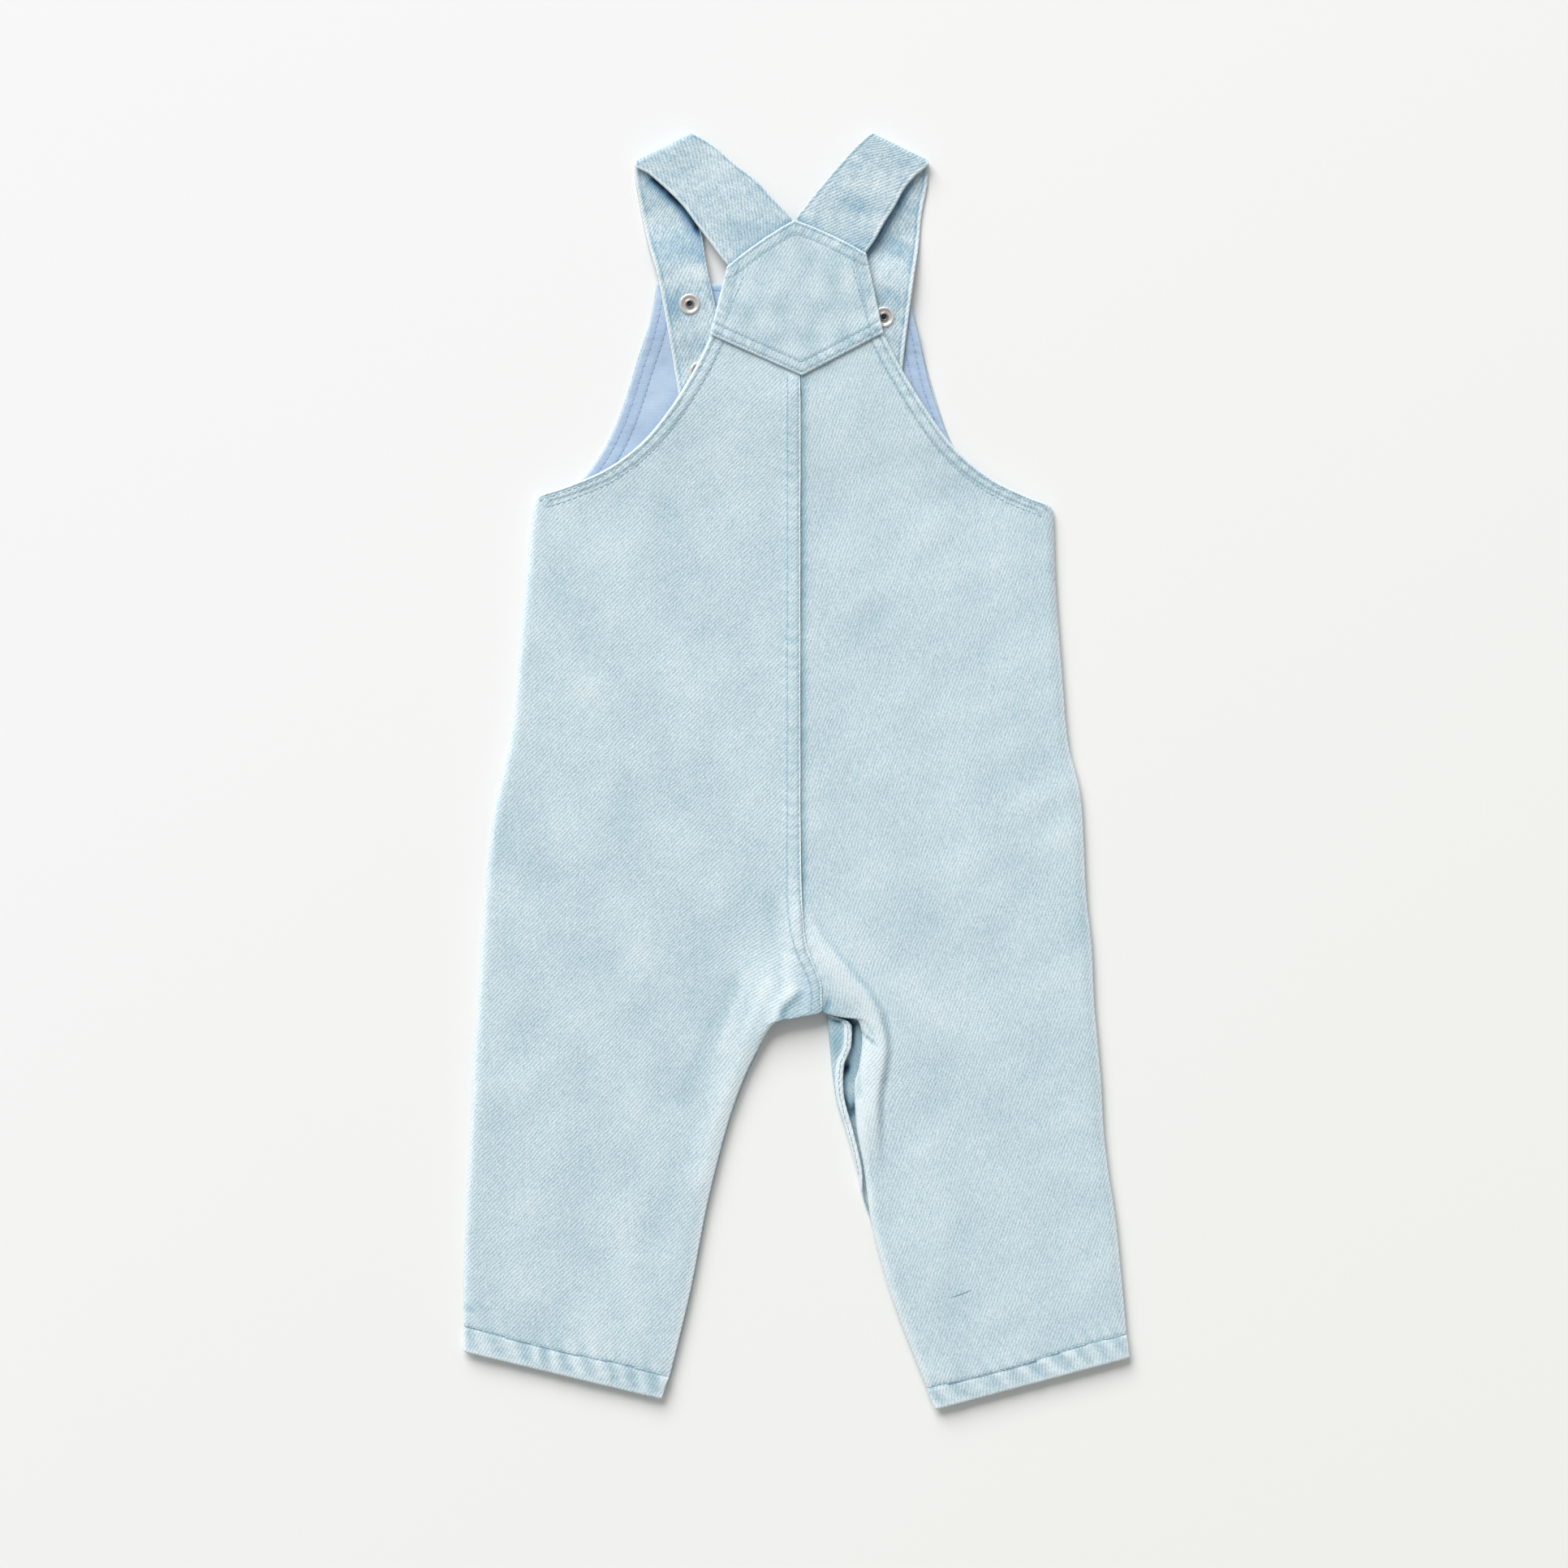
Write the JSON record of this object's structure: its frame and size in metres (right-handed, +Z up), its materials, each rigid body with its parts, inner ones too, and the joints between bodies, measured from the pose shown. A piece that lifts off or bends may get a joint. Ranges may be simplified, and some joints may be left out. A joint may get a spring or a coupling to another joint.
{
  "type": "denim overalls",
  "caption": "Baby's denim overalls laid flat, back side up, with a pointed back yoke, folded shoulder straps, press studs and a chambray bib facing.",
  "frame": {"origin": "on the table, below the middle of the garment's outline", "axes": "+Y from the leg hems to the shoulder straps, +X to the right as the laid back is seen from above, +Z up from the table"},
  "size_m": [0.3083, 0.5903, 0.0089],
  "materials": {
    "denim": "light washed right-hand twill, matt",
    "chambray": "plain woven, matt",
    "stud": "nickel plated, satin"
  },
  "bodies": {
    "root": {"front_left": "denim", "front_right": "denim", "bib_facing": "chambray", "back_left": "denim", "back_right": "denim", "back_yoke": "denim", "strap_left": "denim", "strap_right": "denim", "strap_snap_left_upper": "stud", "strap_snap_left_lower": "stud", "strap_snap_right_upper": "stud", "strap_snap_right_lower": "stud", "bib_snap_cap_left": "stud", "bib_snap_cap_right": "stud"}
  },
  "joints": []
}
